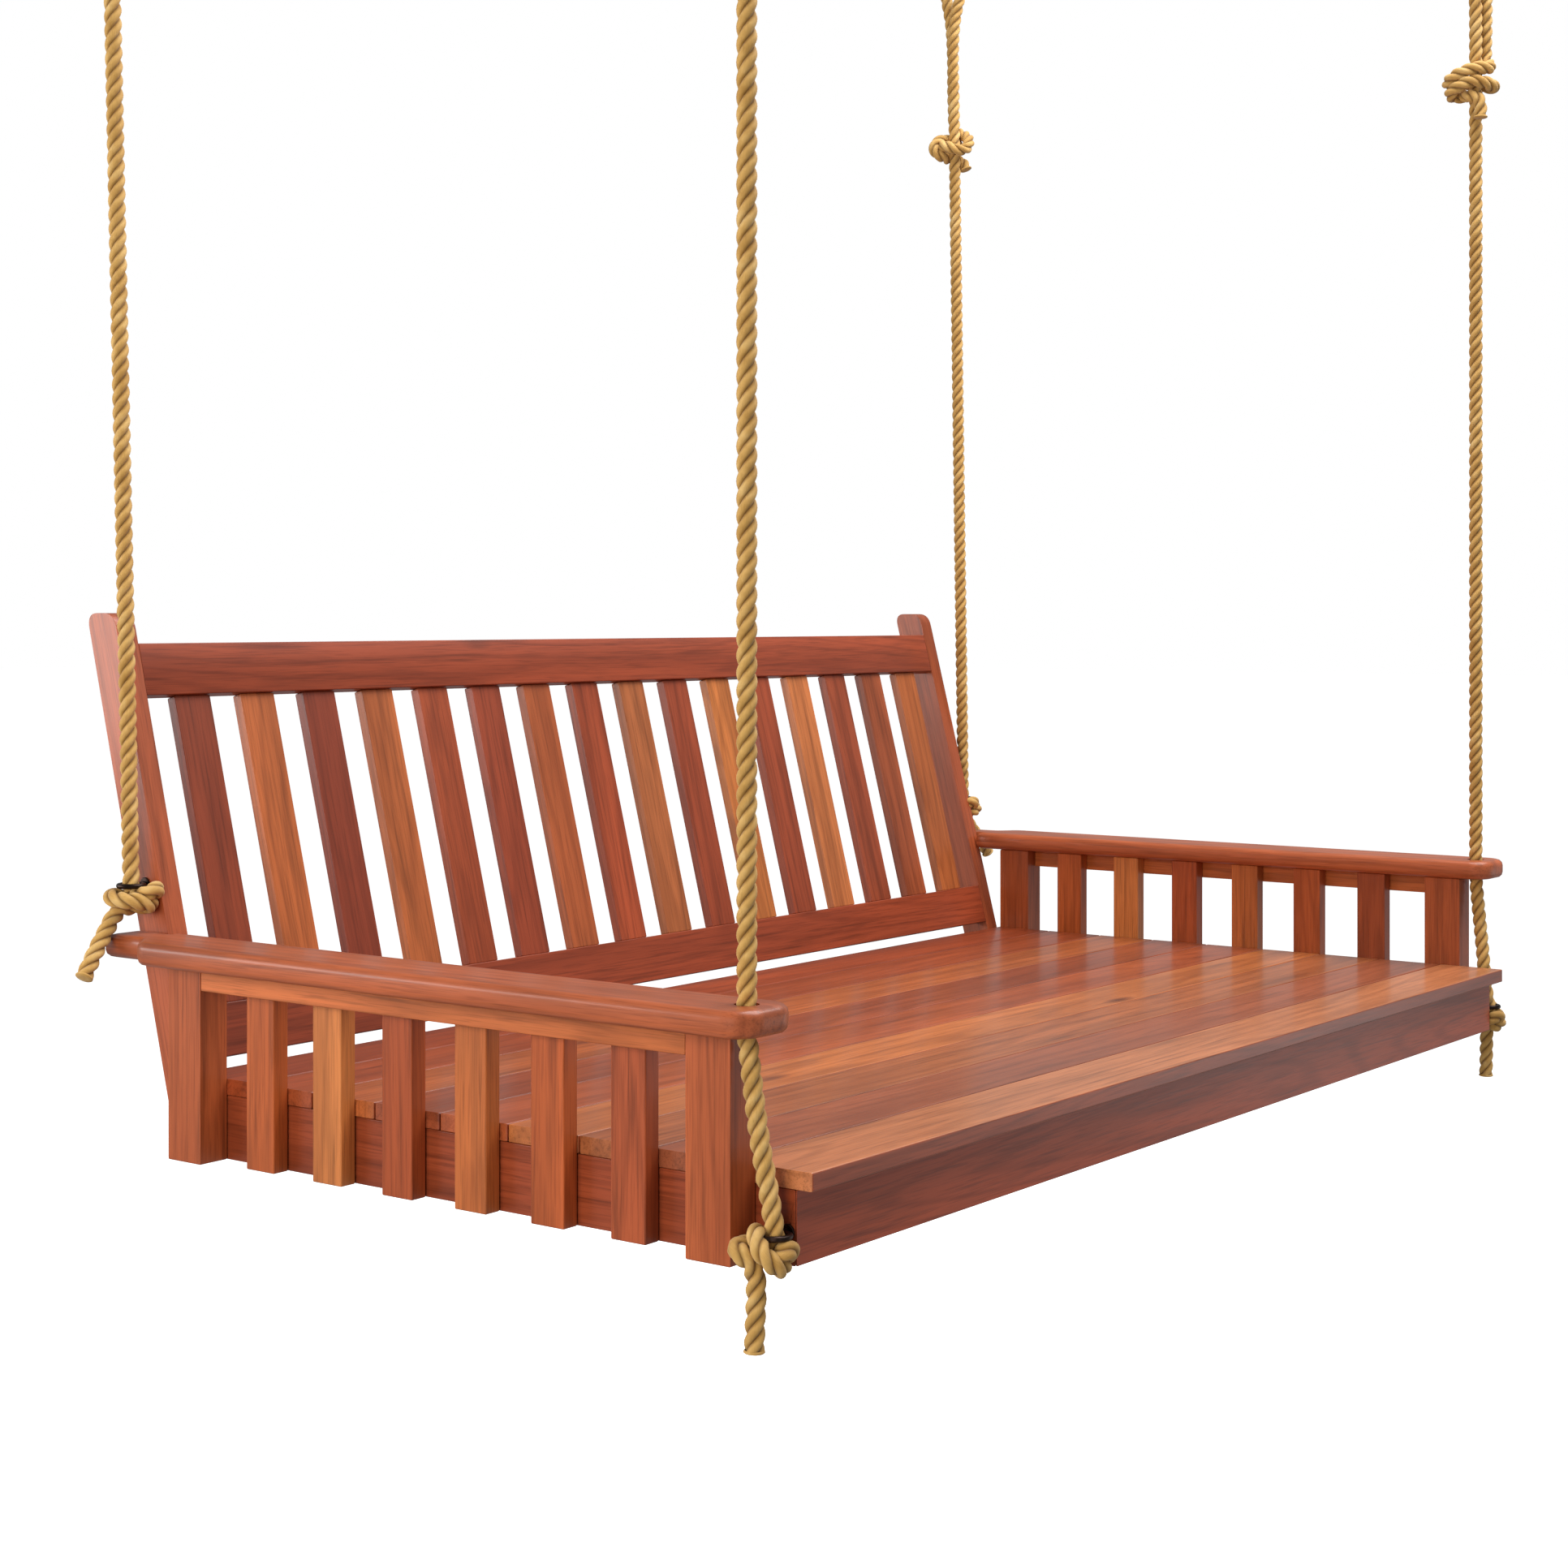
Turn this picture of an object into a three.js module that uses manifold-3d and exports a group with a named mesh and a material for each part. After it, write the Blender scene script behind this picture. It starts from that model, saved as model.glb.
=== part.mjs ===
// Daybed porch swing: a cedar bed with a raked slatted back, hung on four ropes from four ceiling pads.
// Millimetres. +X is to the right as seen from the front, +Y is the back, +Z is up.
// The origin is the middle of the ceiling plane; the bed group below it works in heights over the deck.
import * as THREE from 'three';
import { mergeVertices } from 'three/addons/utils/BufferGeometryUtils.js';
import Module from 'manifold-3d';

const wasm = await Module();
wasm.setup();

// ---- driving dimensions -----------------------------------------------------------------------
const fitGap = 0.5;            // air left between pieces that touch on the real swing
const joinOverlap = 0.5;       // how far the pieces of one joined panel run into each other

const deckWidth = 1967;        // along X
const deckDepth = 995;         // along Y
const deckFront = -578.5;      // front edge of the deck
const boardThick = 21;
const boardCount = 9;
const boardGap = 1.2;

const legBottom = -104;        // underside of posts, balusters and aprons
const apronThick = 22;
const apronSetback = 22;       // front apron behind the deck's front edge
const apronInset = 1;          // side aprons behind the deck's ends
const joistThick = 38;
const joistDepth = 70;
const joistPitch = 480;
const joistCount = 3;

const postWide = 44;           // along X
const postDeep = 62;           // along Y
const postSetback = 76.5;      // front posts behind the deck's front edge
const postBackInset = 1.5;     // rear posts inside the deck's back edge

const armTop = 179;
const armThick = 31;
const armWide = 100.5;
const armOverhang = 44;        // arm beyond the posts' outer face
const armFrontInset = 23;      // arm behind the deck's front edge
const armPastDeck = 110;       // arm beyond the deck's back edge
const armCorner = 35;          // radius of its front corners
const armEdge = 10;            // round-over along its edges
const tailInset = 33;          // how far the arm narrows behind the rear post
const tailLead = 5;            // the narrowing starts this far before the rear post's back
const tailCurve = 52;          // and takes this long

const armRailHigh = 30;
const armRailThick = 20;
const balusterWide = 51;
const balusterCount = 6;
const rearBalusterGap = 64;    // from the rear post
const frontBalusterGap = 73;   // from the front post

const rakeTan = 0.2623;        // run of the back over its rise
const stileThick = 32;         // along X
const stileDeep = 57;          // along Y
const stileTop = 598.5;
const stileCorner = 21;
const railThick = 23;          // square to the slope
const topRailTop = 558;
const topRailBottom = 488.4;
const lowRailTop = 80.4;
const lowRailBottom = 12.4;
const slatCount = 16;
const slatWide = 61;
const slatThick = 16;
const slatEndGap = 52;         // between the last slat and the stile

const ropeRadius = 11.5;
const ropeHoleGap = 2.5;       // round the front rope in the arm's hole
const ropeFromArmEdge = 53;    // front rope inside the arm's outer edge
const ropePostGap = 4;         // between the front rope and the post behind it
const pivotOverArm = 8;        // the front ropes bend this far over the arm
const rearEyeHeight = 240;
const frontEyeHeight = -67.5;

const eyeRopeGap = 1.2;        // round the rope in an eye bolt's ring
const eyeWire = 3.5;
const eyeShank = 4;
const eyeShankDepth = 26;      // how far it goes into the wood
const eyeCollar = 9;
const eyeCollarThick = 2.5;
const eyeNeck = 1.5;           // bare shank between the collar and the ring
const eyeHoleGap = 0.4;

const bearingHeight = 1900;    // middle of the bar that each rope hangs on, over the deck
const rearLeanBack = 36;       // the rear ropes run this far back on their way up
const rearLeanOut = 15;        // and this far outward
const padSize = 80;
const padThick = 6;
const padNeck = 8;
const padRing = 30;
const padWire = 5;

const loopRadius = 30;         // centre line of the rope's bend over its thimble
const thimbleWall = 3;
const hangGap = 2.6;           // between the pad's bar and the thimble over it, so that the loop can rock
const frontLeg = [22, -9];     // second leg of a front rope's top loop, [outward, back] of the standing leg
const rearLeg = [19, 14];
const loopShift = 6;           // middle of the loop outside the rope's own line
const knotHeight = 1507;
const upperKnot = [34, 40, 27];     // half sizes along X, Y and Z
const frontKnot = [22, 42, 24];     // the knots under the eyes lie flat against the wood
const rearKnot = [22, 40, 19];
const pivotGap = 1.6;          // round the ball on which a rear rope turns at its eye
const tailLength = 70;

// ---- derived places ---------------------------------------------------------------------------
const deckHalf = deckWidth / 2;
const deckBack = deckFront + deckDepth;
const armBottom = armTop - armThick;
const frontPostFront = deckFront + postSetback;
const rearPostBack = deckBack - postBackInset;
const tailStart = rearPostBack - tailLead;
const tailEnd = tailStart + tailCurve;
const armFront = deckFront + armFrontInset;
const armBack = deckBack + armPastDeck;
const postInner = deckHalf + fitGap;
const postOuter = postInner + postWide;
const apronOuter = deckHalf - apronInset;
const apronTop = -boardThick - fitGap;
const apronFront = deckFront + apronSetback;
const armOuter = postOuter + armOverhang;
const armInner = armOuter - armWide;
const frontPivot = armTop + pivotOverArm;
const ropeHoleRadius = ropeRadius + ropeHoleGap;
const frontRopeX = armOuter - ropeFromArmEdge;
const frontRopeY = frontPostFront - ropePostGap - ropeRadius;
const eyeRing = ropeRadius + eyeRopeGap + eyeWire;                  // to the middle of the wire
const ropeDrop = loopRadius - ropeRadius - thimbleWall - hangGap - padWire;   // bar to the bend's centre
const ceilingHeight = bearingHeight + 2 * padRing + padWire + padNeck + padThick;
const stileFrontAtDeck = deckBack + fitGap + rakeTan * boardThick;
const stileFront = (z) => stileFrontAtDeck + rakeTan * z;
const stileMiddle = (z) => stileFront(z) + stileDeep / 2;
const rearApronBack = stileFront(legBottom) - fitGap;
const eyeReach = eyeRing + eyeWire + eyeNeck + eyeCollarThick;      // wood face to the ring's middle
const frontEyeX = apronOuter + eyeReach;
const frontEyeY = apronFront + apronThick / 2;
const rearEyeX = deckHalf + eyeReach;
const rearEyeY = stileMiddle(rearEyeHeight);

// ---- materials --------------------------------------------------------------------------------
const paint = (color, roughness, metalness = 0) => () =>
  new THREE.MeshStandardMaterial({ color, roughness, metalness });
const cedarRed = paint(0x9a4a34, 0.35);
const cedarOrange = paint(0xb56f48, 0.35);
const cedarBrown = paint(0xa55c40, 0.35);
const bronze = paint(0x4a3428, 0.4, 0.9);
const manila = paint(0xc9a468, 0.9);

const bed = new THREE.Group();
bed.position.z = -ceilingHeight;
const swing = new THREE.Group();
swing.add(bed);

function add(name, geometry, material) {
  const mesh = new THREE.Mesh(geometry, material());
  mesh.name = name;
  bed.add(mesh);
}

// ---- shape helpers ----------------------------------------------------------------------------
function box(x0, x1, y0, y1, z0, z1) {
  const geometry = new THREE.BoxGeometry(x1 - x0, y1 - y0, z1 - z0);
  return geometry.translate((x0 + x1) / 2, (y0 + y1) / 2, (z0 + z1) / 2);
}

function solid(geometry) {
  const bare = geometry.clone();
  bare.deleteAttribute('normal');
  bare.deleteAttribute('uv');
  const merged = mergeVertices(bare, 1e-4);
  const vertProperties = new Float32Array(merged.attributes.position.array);
  return new wasm.Manifold(new wasm.Mesh({
    numProp: 3, vertProperties, triVerts: new Uint32Array(merged.index.array),
  }));
}

function toGeometry(manifold) {
  const { vertProperties, triVerts } = manifold.getMesh();
  const geometry = new THREE.BufferGeometry();
  geometry.setAttribute('position', new THREE.BufferAttribute(vertProperties, 3));
  geometry.setIndex(new THREE.BufferAttribute(triVerts, 1));
  return geometry;
}

const join = (geometries) =>
  toGeometry(geometries.map(solid).reduce((sum, part) => sum.add(part)));
const cut = (geometry, tools) =>
  toGeometry(tools.map(solid).reduce((rest, tool) => rest.subtract(tool), solid(geometry)));

// A flat outline in XY, thickened upward from z0 to z1.
function plate(shape, z0, z1, options = {}) {
  const depth = z1 - z0;
  const geometry = new THREE.ExtrudeGeometry(shape, { depth, bevelEnabled: false, ...options });
  return geometry.translate(0, 0, z0);
}

// A flat outline in YZ, thickened along X from x0 to x1.
function sidePlate(shape, x0, x1) {
  const geometry = new THREE.ExtrudeGeometry(shape, { depth: x1 - x0, bevelEnabled: false });
  // shape x -> Y, shape y -> Z, depth -> X
  const turn = new THREE.Matrix4().makeBasis(
    new THREE.Vector3(0, 1, 0), new THREE.Vector3(0, 0, 1), new THREE.Vector3(1, 0, 0));
  return geometry.applyMatrix4(turn).translate(x0, 0, 0);
}

function outline(points) {
  return new THREE.Shape(points.map(([x, y]) => new THREE.Vector2(x, y)));
}

// A round rod along X between two places.
function rodX(radius, x0, x1, y, z, sides = 16) {
  const geometry = new THREE.CylinderGeometry(radius, radius, Math.abs(x1 - x0), sides);
  return geometry.rotateZ(Math.PI / 2).translate((x0 + x1) / 2, y, z);
}

function rodZ(radius, x, y, z0, z1, sides = 24) {
  const geometry = new THREE.CylinderGeometry(radius, radius, z1 - z0, sides);
  return geometry.rotateX(Math.PI / 2).translate(x, y, (z0 + z1) / 2);
}

// A round tube through points, closed at both ends.
function tube(points, radius, steps, sides = 8) {
  const path = new THREE.CatmullRomCurve3(points.map((p) => new THREE.Vector3(...p)), false, 'centripetal');
  const ring = new THREE.Shape();
  ring.absarc(0, 0, radius, 0, 2 * Math.PI);
  return new THREE.ExtrudeGeometry(ring, { steps, extrudePath: path, curveSegments: sides / 2 });
}

const ball = (radius, x, y, z) => new THREE.SphereGeometry(radius, 10, 6).translate(x, y, z);
const lump = ([wide, deep, high], x, y, z) =>
  new THREE.SphereGeometry(1, 12, 8).scale(wide, deep, high).translate(x, y, z);

const sides = [['left', -1], ['right', 1]];
const span = (side, a, b) => (side > 0 ? [a, b] : [-b, -a]);

// ---- deck and its frame -----------------------------------------------------------------------
function deckBoards() {
  const pitch = (deckDepth + boardGap) / boardCount;
  for (let n = 0; n < boardCount; n += 1) {
    const y = deckFront + n * pitch;
    const material = n % 3 === 1 ? cedarOrange : cedarBrown;
    add(`deck_board_${n + 1}`, box(-deckHalf, deckHalf, y, y + pitch - boardGap, -boardThick, 0), material);
  }
}

const boltHole = (side, x, y, z) =>
  rodX(eyeShank + eyeHoleGap, side * x, side * (x - eyeShankDepth - eyeHoleGap), y, z);

function aprons() {
  const inner = apronOuter - apronThick;
  const mitre = [[-apronOuter, apronFront], [apronOuter, apronFront],
    [inner, apronFront + apronThick], [-inner, apronFront + apronThick]];
  const frontHoles = sides.map(([, side]) => boltHole(side, apronOuter, frontEyeY, frontEyeHeight));
  add('apron_front', cut(plate(outline(mitre), legBottom, apronTop), frontHoles), cedarRed);
  for (const [name, side] of sides) {
    const plan = [[side * apronOuter, apronFront + fitGap], [side * inner, apronFront + apronThick + fitGap],
      [side * inner, rearApronBack], [side * apronOuter, rearApronBack]];
    const blank = plate(outline(plan), legBottom, apronTop);
    add(`apron_${name}`, cut(blank, [boltHole(side, apronOuter, frontEyeY, frontEyeHeight)]), cedarRed);
  }
  const between = inner - fitGap;
  add('apron_rear', box(-between, between, rearApronBack - apronThick, rearApronBack, legBottom, apronTop), cedarRed);
}

function joists() {
  const y0 = apronFront + apronThick + fitGap;
  const y1 = rearApronBack - apronThick - fitGap;
  for (let n = 0; n < joistCount; n += 1) {
    const x = (n - (joistCount - 1) / 2) * joistPitch;
    const body = box(x - joistThick / 2, x + joistThick / 2, y0, y1, apronTop - joistDepth, apronTop);
    add(`joist_${n + 1}`, body, cedarBrown);
  }
}

// ---- side frames ------------------------------------------------------------------------------
function posts(name, side) {
  const [x0, x1] = span(side, postInner, postOuter);
  const top = armBottom - fitGap;
  add(`post_front_${name}`, box(x0, x1, frontPostFront, frontPostFront + postDeep, legBottom, top), cedarBrown);
  add(`post_rear_${name}`, box(x0, x1, rearPostBack - postDeep, rearPostBack, legBottom, top), cedarBrown);
}

function balusters(name, side) {
  const top = armBottom - fitGap;
  const y0 = frontPostFront + postDeep + fitGap;
  const y1 = rearPostBack - postDeep - fitGap;
  const railInner = postOuter - armRailThick;
  const pieces = [box(...span(side, railInner, postOuter), y0, y1, armBottom - armRailHigh, top)];
  const firstBack = rearPostBack - postDeep - rearBalusterGap;
  const lastFront = frontPostFront + postDeep + frontBalusterGap;
  const pitch = (firstBack - balusterWide - lastFront) / (balusterCount - 1);
  for (let n = 0; n < balusterCount; n += 1) {
    const back = firstBack - n * pitch;
    const across = span(side, postInner, railInner + joinOverlap);
    pieces.push(box(...across, back - balusterWide, back, legBottom, top));
  }
  add(`balusters_${name}`, join(pieces), cedarOrange);
}

function armShape(side, inset) {
  const outer = armOuter - inset;
  const inner = armInner + inset;
  const front = armFront + inset;
  const back = armBack - inset;
  const corner = armCorner - inset;
  const tail = outer - tailInset;
  const notch = deckHalf + fitGap + inset;
  const notchStart = stileFront(armBottom) - fitGap - inset;
  const middle = (tailStart + tailEnd) / 2;
  const shape = new THREE.Shape();
  shape.moveTo(inner + corner, front);
  shape.lineTo(outer - corner, front);
  shape.absarc(outer - corner, front + corner, corner, -Math.PI / 2, 0, false);
  shape.lineTo(outer, tailStart);
  shape.bezierCurveTo(outer, middle, tail, middle, tail, tailEnd);
  shape.lineTo(tail, back);
  shape.lineTo(notch, back);
  shape.lineTo(notch, notchStart);
  shape.lineTo(inner, notchStart);
  shape.lineTo(inner, front + corner);
  shape.absarc(inner + corner, front + corner, corner, Math.PI, 1.5 * Math.PI, false);
  const points = shape.getPoints(6).map(({ x, y }) => [side * x, y]);
  return outline(side > 0 ? points : points.reverse());
}

function arm(name, side) {
  const round = { bevelEnabled: true, bevelThickness: armEdge, bevelSize: armEdge, bevelSegments: 3 };
  const body = plate(armShape(side, armEdge), armBottom + armEdge, armTop - armEdge, round);
  const hole = rodZ(ropeHoleRadius, side * frontRopeX, frontRopeY, armBottom - 1, armTop + 1);
  add(`arm_${name}`, cut(body, [hole]), cedarBrown);
}

// ---- raked back -------------------------------------------------------------------------------
function stile(name, side) {
  const r = stileCorner;
  const frontTop = stileFront(stileTop);
  const backTop = frontTop + stileDeep;
  const shape = new THREE.Shape();
  shape.moveTo(stileFront(legBottom), legBottom);
  shape.lineTo(stileFront(legBottom) + stileDeep, legBottom);
  shape.lineTo(stileFront(stileTop - r) + stileDeep, stileTop - r);
  shape.quadraticCurveTo(backTop, stileTop, backTop - r, stileTop);
  shape.lineTo(frontTop + r, stileTop);
  shape.quadraticCurveTo(frontTop, stileTop, stileFront(stileTop - r), stileTop - r);
  const smooth = outline(shape.getPoints(8).map(({ x, y }) => [x, y]));
  const blank = sidePlate(smooth, ...span(side, deckHalf - stileThick, deckHalf));
  add(`back_stile_${name}`, cut(blank, [boltHole(side, deckHalf, rearEyeY, rearEyeHeight)]), cedarBrown);
}

// A board lying in the slope of the back, given by the heights of its front face's two edges.
function slopeBoard(x0, x1, bottom, top, thick, recess) {
  const length = Math.hypot(1, rakeTan);
  const inY = 1 / length;
  const inZ = -rakeTan / length;
  const corner = (z, depth) => [stileFront(z) + inY * depth, z + inZ * depth];
  const shape = outline([corner(bottom, recess), corner(bottom, recess + thick),
    corner(top, recess + thick), corner(top, recess)]);
  return sidePlate(shape, x0, x1);
}

function back() {
  const half = deckHalf - stileThick - fitGap;
  add('back_rail_top', slopeBoard(-half, half, topRailBottom, topRailTop, railThick, 0), cedarRed);
  add('back_rail_low', slopeBoard(-half, half, lowRailBottom, lowRailTop, railThick, 0), cedarRed);
  const tones = [cedarRed, cedarOrange];
  const pitch = (2 * (half - slatEndGap) - slatWide) / (slatCount - 1);
  for (let n = 0; n < slatCount; n += 1) {
    const x = (n - (slatCount - 1) / 2) * pitch;
    const body = slopeBoard(x - slatWide / 2, x + slatWide / 2, lowRailTop + fitGap,
      topRailBottom - fitGap, slatThick, railThick - slatThick);
    add(`back_slat_${n + 1}`, body, tones[n % 2]);
  }
}

// ---- metal fittings ---------------------------------------------------------------------------
function eyeBolt(label, side, x, faceX, y, z) {
  const ring = new THREE.TorusGeometry(eyeRing, eyeWire, 8, 20).translate(side * x, y, z);
  const shank = rodX(eyeShank, side * (x - eyeRing), side * (faceX - eyeShankDepth), y, z, 12);
  const collar = rodX(eyeCollar, side * (faceX + fitGap), side * (faceX + eyeCollarThick), y, z, 20);
  add(`eye_bolt_${label}`, join([ring, shank, collar]), bronze);
}

function ceilingPad(label, x, y) {
  const half = padSize / 2;
  const ringMiddle = bearingHeight + padRing;
  const padBottom = ceilingHeight - padThick;
  const ring = new THREE.TorusGeometry(padRing, padWire, 8, 20).rotateX(Math.PI / 2).translate(x, y, ringMiddle);
  const neck = rodZ(padWire + 2, x, y, ringMiddle + padRing - padWire / 2, padBottom + joinOverlap, 14);
  const pad = box(x - half, x + half, y - half, y + half, padBottom, ceilingHeight);
  add(`ceiling_pad_${label}`, join([pad, neck, ring]), bronze);
}

// ---- ropes ------------------------------------------------------------------------------------
// Points of the top loop, as [outward, back, height] from the rope's own line: up the standing leg,
// round the thimble, and down the second leg to the knot.
const loopMiddle = bearingHeight - ropeDrop;

function topLoop([out, back]) {
  const toLeg = (share, z) =>
    [loopShift + share * (out - loopShift), loopRadius + share * (back - loopRadius), z];
  return [
    [0, 0, 1500], [0, 0, 1600], [0, 0, 1700], [1, -5, 1760], [3, -15, 1805], [5, -25, 1845],
    [loopShift, -loopRadius, loopMiddle - 5], [loopShift, -21, loopMiddle + 21],
    [loopShift, 0, loopMiddle + loopRadius], [loopShift, 21, loopMiddle + 21],
    [loopShift, loopRadius, loopMiddle - 5], toLeg(0.2, 1845), toLeg(0.5, 1805), toLeg(0.85, 1760),
    [out, back, 1700], [out, back, 1600], [out, back, knotHeight],
  ];
}

// One hanging rope from its lower pivot to its knot and its loop on the ceiling pad.
function upperRope(label, side, x, y, pivot, leg, leanOut, leanBack) {
  const rise = bearingHeight - pivot;
  const place = ([out, back, z]) => {
    const share = (z - pivot) / rise;
    return [side * (x + out + leanOut * share), y + back + leanBack * share, z];
  };
  const points = topLoop(leg);
  const standing = tube([place([0, 0, pivot]), place([0, 0, points[0][2] + 1])], ropeRadius, 16);
  const loop = tube(points.map(place), ropeRadius, 36);
  const knot = lump(upperKnot, ...place([6, 4, knotHeight]));
  const end = tube([place([4, -26, knotHeight]), place([2, -25, knotHeight - tailLength])], ropeRadius, 2);
  const foot = ball(ropeRadius, ...place([0, 0, pivot]));
  add(`rope_${label}`, join([foot, standing, loop, knot, end]), manila);
}

// Below the arm a front rope slants to its eye bolt, passes down through it and ends in a stopper knot.
function lowerFrontRope(name, side) {
  const start = frontPivot - ropeRadius - fitGap;
  const x = side * frontEyeX;
  const run = tube([
    [side * frontRopeX, frontRopeY, start], [side * frontRopeX, frontRopeY, 150],
    [side * (frontRopeX - 1), frontRopeY - 2, 128], [side * (frontRopeX - 5), frontRopeY - 12.5, 40],
    [x, frontEyeY + 4.5, -40], [x, frontEyeY, frontEyeHeight], [x, frontEyeY, -92],
  ], ropeRadius, 12);
  const knot = lump(frontKnot, x, frontEyeY, frontEyeHeight - eyeWire - fitGap - frontKnot[2]);
  const end = tube([[x, frontEyeY + 8, -95], [x, frontEyeY + 15.5, -140], [x, frontEyeY + 20.5, -188]], ropeRadius, 4);
  add(`rope_front_${name}_lower`, join([run, knot, end]), manila);
}

// Under a rear eye the rope ends in a stopper knot, with its tail hanging outward past the arm.
function lowerRearRope(name, side) {
  const under = rearEyeHeight - ropeRadius - fitGap;
  const knotMiddle = rearEyeHeight - eyeWire - fitGap - rearKnot[2];
  const knot = lump(rearKnot, side * rearEyeX, rearEyeY, knotMiddle);
  const stub = rodZ(ropeRadius, side * rearEyeX, rearEyeY, knotMiddle, under, 10);
  const end = tube([
    [side * (rearEyeX + 6), rearEyeY, 216], [side * (rearEyeX + 34), rearEyeY, 208],
    [side * (rearEyeX + 53), rearEyeY, 180], [side * (rearEyeX + 61), rearEyeY, 148],
    [side * (rearEyeX + 68), rearEyeY, 118],
  ], ropeRadius, 5);
  const socket = ball(ropeRadius + pivotGap, side * rearEyeX, rearEyeY, rearEyeHeight);
  add(`rope_rear_${name}_lower`, cut(join([knot, stub, end]), [socket]), manila);
}

// ---- assembly ---------------------------------------------------------------------------------
deckBoards();
aprons();
joists();
back();
for (const [name, side] of sides) {
  posts(name, side);
  balusters(name, side);
  arm(name, side);
  stile(name, side);
  eyeBolt(`front_${name}`, side, frontEyeX, apronOuter, frontEyeY, frontEyeHeight);
  eyeBolt(`rear_${name}`, side, rearEyeX, deckHalf, rearEyeY, rearEyeHeight);
  ceilingPad(`front_${name}`, side * (frontRopeX + loopShift), frontRopeY);
  ceilingPad(`rear_${name}`, side * (rearEyeX + loopShift + rearLeanOut), rearEyeY + rearLeanBack);
  upperRope(`front_${name}`, side, frontRopeX, frontRopeY, frontPivot, frontLeg, 0, 0);
  upperRope(`rear_${name}`, side, rearEyeX, rearEyeY, rearEyeHeight, rearLeg, rearLeanOut, rearLeanBack);
  lowerFrontRope(name, side);
  lowerRearRope(name, side);
}

export default swing;
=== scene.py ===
import math
import random

import bmesh
import bpy
import numpy as np
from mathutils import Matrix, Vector


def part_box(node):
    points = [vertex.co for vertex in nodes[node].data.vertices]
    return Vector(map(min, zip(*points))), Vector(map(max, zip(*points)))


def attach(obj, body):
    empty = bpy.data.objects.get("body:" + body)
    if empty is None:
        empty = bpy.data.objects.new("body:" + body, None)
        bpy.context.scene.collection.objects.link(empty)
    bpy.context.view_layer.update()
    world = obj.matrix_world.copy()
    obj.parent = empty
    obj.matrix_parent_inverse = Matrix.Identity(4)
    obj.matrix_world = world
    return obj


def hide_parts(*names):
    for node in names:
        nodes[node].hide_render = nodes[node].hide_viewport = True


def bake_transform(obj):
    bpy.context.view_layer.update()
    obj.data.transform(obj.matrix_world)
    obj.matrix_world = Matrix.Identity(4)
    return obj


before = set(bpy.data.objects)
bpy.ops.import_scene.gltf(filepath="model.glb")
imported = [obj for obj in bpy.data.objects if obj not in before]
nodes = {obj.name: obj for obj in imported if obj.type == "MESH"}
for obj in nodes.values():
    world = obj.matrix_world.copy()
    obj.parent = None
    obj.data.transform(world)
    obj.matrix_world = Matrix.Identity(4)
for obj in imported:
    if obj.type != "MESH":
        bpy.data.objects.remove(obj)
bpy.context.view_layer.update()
random.seed(11)

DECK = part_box("deck_board_1")[1].z       # top of the deck, from which the ropes' heights count
SIDES = (("left", -1), ("right", 1))
RAKE = math.atan(0.2623)                 # lean of the back


# ---- camera and light -------------------------------------------------------------------------
FILL_LIGHT = 0.33                        # strength of the white surroundings as a light
LIGHTS = (                               # name, place, target, width, height, watts, seen in reflections
    ("key", (-4.6, -0.6, -1.2), (0, 0, -1.95), 2.6, 2.6, 115, False),
    ("top", (0.9, -1.1, 1.6), (0, 0, -2), 3.2, 3.2, 205, True),
    ("back", (-2.8, 2.6, -1.3), (0, 0.5, -1.6), 2.4, 0.9, 42, True),
    ("front", (3.0, -2.6, -2.4), (0.4, -0.4, -2.1), 2.0, 0.8, 5, True),
)


def put(obj):
    bpy.context.scene.collection.objects.link(obj)
    return obj


def make_camera():
    data = bpy.data.cameras.new("camera")
    data.lens = 58.72
    data.sensor_width = 36
    data.shift_y = -0.1069
    camera = put(bpy.data.objects.new("camera", data))
    camera.location = (-3.186, -2.1895, DECK + 0.594)
    camera.rotation_euler = (math.radians(90), 0, math.radians(-53.18))
    bpy.context.scene.camera = camera


def area_light(name, place, target, width, height, watts, reflected):
    data = bpy.data.lights.new(name, "AREA")
    data.shape = "RECTANGLE"
    data.size = width
    data.size_y = height
    data.energy = watts
    light = put(bpy.data.objects.new(name, data))
    light.location = place
    aim = Vector(target) - Vector(place)
    light.rotation_euler = aim.to_track_quat("-Z", "Y").to_euler()
    light.visible_camera = False
    light.visible_glossy = reflected


def make_world():
    """White all round, but dimmer as fill light than it looks, so that the faces keep their contrast."""
    world = bpy.data.worlds.new("studio")
    bpy.context.scene.world = world
    world.use_nodes = True
    tree = world.node_tree
    background = tree.nodes["Background"]
    background.inputs["Color"].default_value = (1, 1, 1, 1)
    path = tree.nodes.new("ShaderNodeLightPath")
    dim = tree.nodes.new("ShaderNodeMapRange")
    dim.inputs["To Min"].default_value = FILL_LIGHT
    dim.inputs["To Max"].default_value = 1.0
    tree.links.new(path.outputs["Is Camera Ray"], dim.inputs["Value"])
    tree.links.new(dim.outputs["Result"], background.inputs["Strength"])


# ---- mesh helpers -----------------------------------------------------------------------------
WELD_DISTANCE = 1e-5
SHARP_ARM = 42                           # degrees between faces from which an edge is shaded sharp
SHARP_STICK = 50
SHARP_METAL = 38


def mesh_piece(name, points, faces, uvs=None, smooth=True):
    data = bpy.data.meshes.new(name)
    data.from_pydata([tuple(p) for p in points], [], faces)
    if uvs is not None:
        layer = data.uv_layers.new(name="rope")
        order = np.empty(len(data.loops), int)
        data.loops.foreach_get("vertex_index", order)
        layer.data.foreach_set("uv", np.asarray(uvs, np.float32)[order].ravel())
    data.polygons.foreach_set("use_smooth", [smooth] * len(data.polygons))
    data.update()
    return put(bpy.data.objects.new(name, data))


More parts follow.
